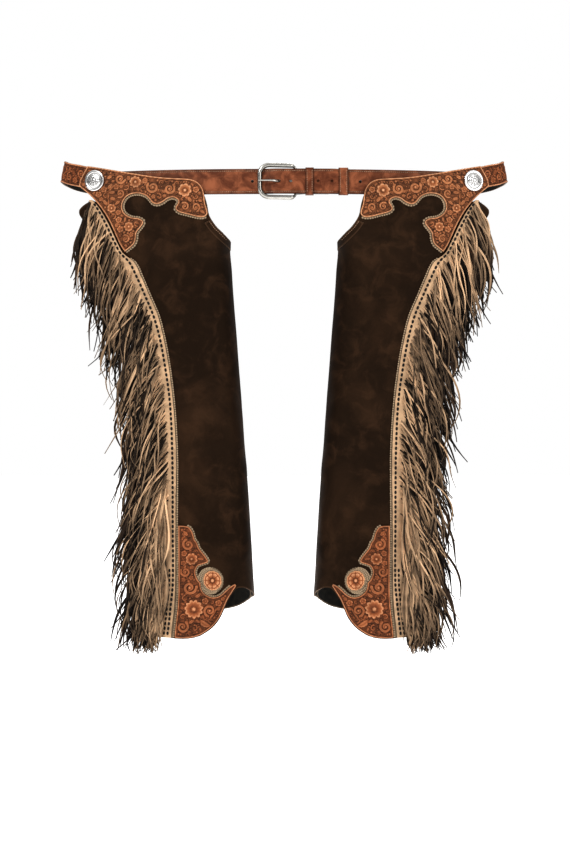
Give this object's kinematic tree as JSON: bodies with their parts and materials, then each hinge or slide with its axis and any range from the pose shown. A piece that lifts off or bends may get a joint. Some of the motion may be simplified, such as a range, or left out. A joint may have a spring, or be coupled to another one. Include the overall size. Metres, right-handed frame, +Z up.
{
  "type": "fringed leather chaps",
  "caption": "Worn-form leather chaps: two hollow leg tubes with fringed outer seams, tooled yokes and corner patches, hip straps and a buckled belt round an open waist.",
  "frame": {"origin": "centre of the waist loop at the height of the front belt's middle line", "axes": "+Z up, the front faces -Y, +X towards the wearer's left"},
  "size_m": [0.893, 0.2587, 0.9862],
  "materials": {
    "oiled_leather": "dark brown oiled leather, mottled, soft sheen",
    "tooled_leather": "orange-tan tooled leather with dark recesses",
    "belt_leather": "plain brown strap leather, edge stitched",
    "scallop_leather": "greyish tan rough leather, scalloped edge",
    "fringe_tan": "tan suede-like fringe leather",
    "fringe_dark": "dark brown fringe leather",
    "nickel": "polished nickel with engraved concho faces"
  },
  "bodies": {
    "root": {"leg_front_r": "oiled_leather", "leg_front_l": "oiled_leather", "leg_back_outer_r": "oiled_leather", "leg_back_inner_r": "oiled_leather", "leg_back_outer_l": "oiled_leather", "leg_back_inner_l": "oiled_leather", "crotch_strip_r": "oiled_leather", "crotch_strip_l": "oiled_leather", "yoke_r": "tooled_leather", "yoke_l": "tooled_leather", "cuff_r": "tooled_leather", "cuff_l": "tooled_leather", "medallion_r": "tooled_leather", "medallion_l": "tooled_leather", "hip_strap_r": "tooled_leather", "hip_strap_l": "tooled_leather", "yoke_underlay_r": "scallop_leather", "yoke_underlay_l": "scallop_leather", "cuff_underlay_r": "scallop_leather", "cuff_underlay_l": "scallop_leather", "medallion_underlay_r": "scallop_leather", "medallion_underlay_l": "scallop_leather", "band_scallop_r": "scallop_leather", "band_scallop_l": "scallop_leather", "fringe_tan_r": "fringe_tan", "fringe_tan_l": "fringe_tan", "fringe_dark_r": "fringe_dark", "fringe_dark_l": "fringe_dark", "concho_r": "nickel", "concho_l": "nickel", "back_strap": "belt_leather", "belt_tongue": "belt_leather", "belt_buckle_side": "belt_leather", "keeper_near": "belt_leather", "keeper_tip": "belt_leather", "buckle_frame": "nickel", "buckle_prong": "nickel"}
  },
  "joints": []
}
